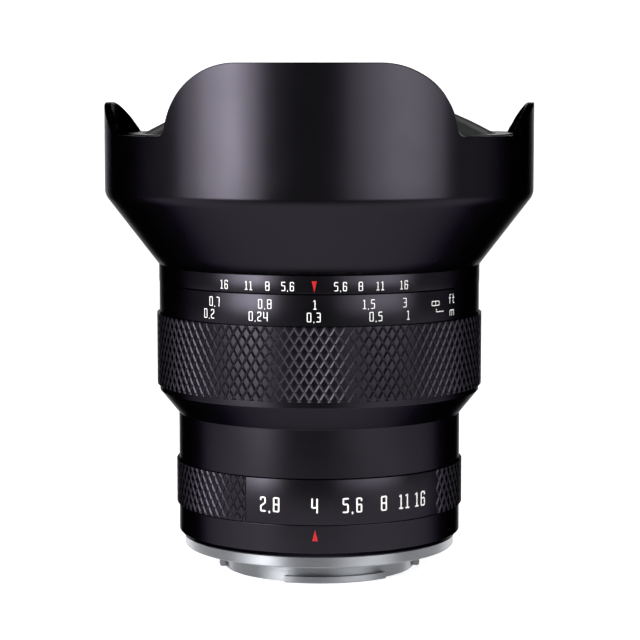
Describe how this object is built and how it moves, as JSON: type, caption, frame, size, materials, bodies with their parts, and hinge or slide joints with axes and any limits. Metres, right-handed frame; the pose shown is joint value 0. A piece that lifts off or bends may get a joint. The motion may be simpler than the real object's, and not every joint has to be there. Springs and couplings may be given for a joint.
{
  "type": "fisheye lens",
  "caption": "Fisheye camera lens with a fixed petal hood, domed front glass, ribbed focus and aperture rings, an iris and a bayonet mount.",
  "frame": {"origin": "centre of the flange's seat face", "axes": "+Z along the optical axis to the front of the lens, -Y towards the index marks, +X to the right when the index faces the viewer"},
  "size_m": [0.0968, 0.0968, 0.1141],
  "materials": {
    "black_anodised": "satin black anodised",
    "glass": "polished and coated",
    "chromed_brass": "bright chrome plate",
    "steel": "machined",
    "brass": "machined",
    "black_plastic": "matt moulded",
    "blackened_steel": "matt black"
  },
  "bodies": {
    "fixed_barrel": {"lens_mount": "chromed_brass", "mount_screws": "steel", "bayonet_stop_screw": "steel", "rear_baffle": "black_plastic", "rear_cover": "black_anodised", "click_ball": "steel", "click_spring": "steel", "rear_barrel": "black_anodised", "guide_sleeve": "black_anodised", "guide_keys": "brass", "nut_retaining_ring": "black_anodised", "depth_scale_ring": "black_anodised", "petal_hood": "black_anodised", "hood_screws": "steel", "hood_light_trap": "black_anodised"},
    "aperture_control": {"aperture_ring": "black_anodised", "aperture_link_arm": "black_anodised", "aperture_link_screw": "steel"},
    "focus_control": {"focus_ring": "black_anodised", "focus_nut_ring": "brass", "drive_pins": "steel"},
    "optical_unit": {"front_cell": "black_anodised", "front_retaining_ring": "black_anodised", "lens_1": "glass", "lens_2": "glass", "lens_3": "glass", "lens_4": "glass", "lens_5": "glass", "lens_6": "glass", "lens_7": "glass", "lens_8": "glass", "lens_9": "glass", "lens_10": "glass", "lens_11": "glass", "lens_2_retaining_ring": "black_anodised", "lens_3_spacer": "black_anodised", "inner_barrel": "black_anodised", "pair_retaining_ring": "black_anodised", "lens_6_retaining_ring": "black_anodised", "iris_housing": "black_anodised", "iris_cover": "black_anodised", "rear_cell": "black_anodised", "lens_7_retaining_ring": "black_anodised", "rear_spacer": "black_anodised", "rear_retaining_ring": "black_anodised", "cell_screws": "steel", "helicoid_sleeve": "black_anodised"},
    "iris_cam": {"iris_cam_ring": "black_anodised"},
    "blade_1": {"iris_blade_1": "blackened_steel"},
    "blade_2": {"iris_blade_2": "blackened_steel"},
    "blade_3": {"iris_blade_3": "blackened_steel"},
    "blade_4": {"iris_blade_4": "blackened_steel"},
    "blade_5": {"iris_blade_5": "blackened_steel"},
    "blade_6": {"iris_blade_6": "blackened_steel"},
    "blade_7": {"iris_blade_7": "blackened_steel"}
  },
  "joints": [
    {"name": "focus_turn", "type": "hinge", "parent": "fixed_barrel", "child": "focus_control", "pos_m": [0, 0, 0.046], "axis": [0, 0, 1], "range_deg": [-45.51, 39.41]},
    {"name": "focus_slide", "type": "slide", "parent": "fixed_barrel", "child": "optical_unit", "axis": [0, 0, 1], "range_m": [-0.00050555, 0.00043777]},
    {"name": "aperture_turn", "type": "hinge", "parent": "fixed_barrel", "child": "aperture_control", "pos_m": [0, 0, 0.0147], "axis": [0, 0, 1], "range_deg": [-44.5, 17.5]},
    {"name": "iris_cam_turn", "type": "hinge", "parent": "optical_unit", "child": "iris_cam", "pos_m": [0, 0, 0.0499], "axis": [0, 0, 1], "range_deg": [-44.51, 17.51]},
    {"name": "blade_1_swing", "type": "hinge", "parent": "optical_unit", "child": "blade_1", "pos_m": [0.0122, 0, 0.0485], "axis": [0, 0, 1], "range_deg": [-13.42, 5.28]},
    {"name": "blade_2_swing", "type": "hinge", "parent": "optical_unit", "child": "blade_2", "pos_m": [0.00761, 0.00954, 0.0485], "axis": [0, 0, 1], "range_deg": [-13.42, 5.28]},
    {"name": "blade_3_swing", "type": "hinge", "parent": "optical_unit", "child": "blade_3", "pos_m": [-0.00271, 0.01189, 0.0485], "axis": [0, 0, 1], "range_deg": [-13.42, 5.28]},
    {"name": "blade_4_swing", "type": "hinge", "parent": "optical_unit", "child": "blade_4", "pos_m": [-0.01099, 0.00529, 0.0485], "axis": [0, 0, 1], "range_deg": [-13.42, 5.28]},
    {"name": "blade_5_swing", "type": "hinge", "parent": "optical_unit", "child": "blade_5", "pos_m": [-0.01099, -0.00529, 0.0485], "axis": [0, 0, 1], "range_deg": [-13.42, 5.28]},
    {"name": "blade_6_swing", "type": "hinge", "parent": "optical_unit", "child": "blade_6", "pos_m": [-0.00271, -0.01189, 0.0485], "axis": [0, 0, 1], "range_deg": [-13.42, 5.28]},
    {"name": "blade_7_swing", "type": "hinge", "parent": "optical_unit", "child": "blade_7", "pos_m": [0.00761, -0.00954, 0.0485], "axis": [0, 0, 1], "range_deg": [-13.42, 5.28]}
  ],
  "couplings": [
    {"joint": "focus_turn", "follows": "focus_slide", "rad_per_m": 1570.8},
    {"joint": "iris_cam_turn", "follows": "aperture_turn", "ratio": 1},
    {"joint": "blade_1_swing", "follows": "aperture_turn", "ratio": 0.30129},
    {"joint": "blade_2_swing", "follows": "aperture_turn", "ratio": 0.30129},
    {"joint": "blade_3_swing", "follows": "aperture_turn", "ratio": 0.30129},
    {"joint": "blade_4_swing", "follows": "aperture_turn", "ratio": 0.30129},
    {"joint": "blade_5_swing", "follows": "aperture_turn", "ratio": 0.30129},
    {"joint": "blade_6_swing", "follows": "aperture_turn", "ratio": 0.30129},
    {"joint": "blade_7_swing", "follows": "aperture_turn", "ratio": 0.30129}
  ]
}
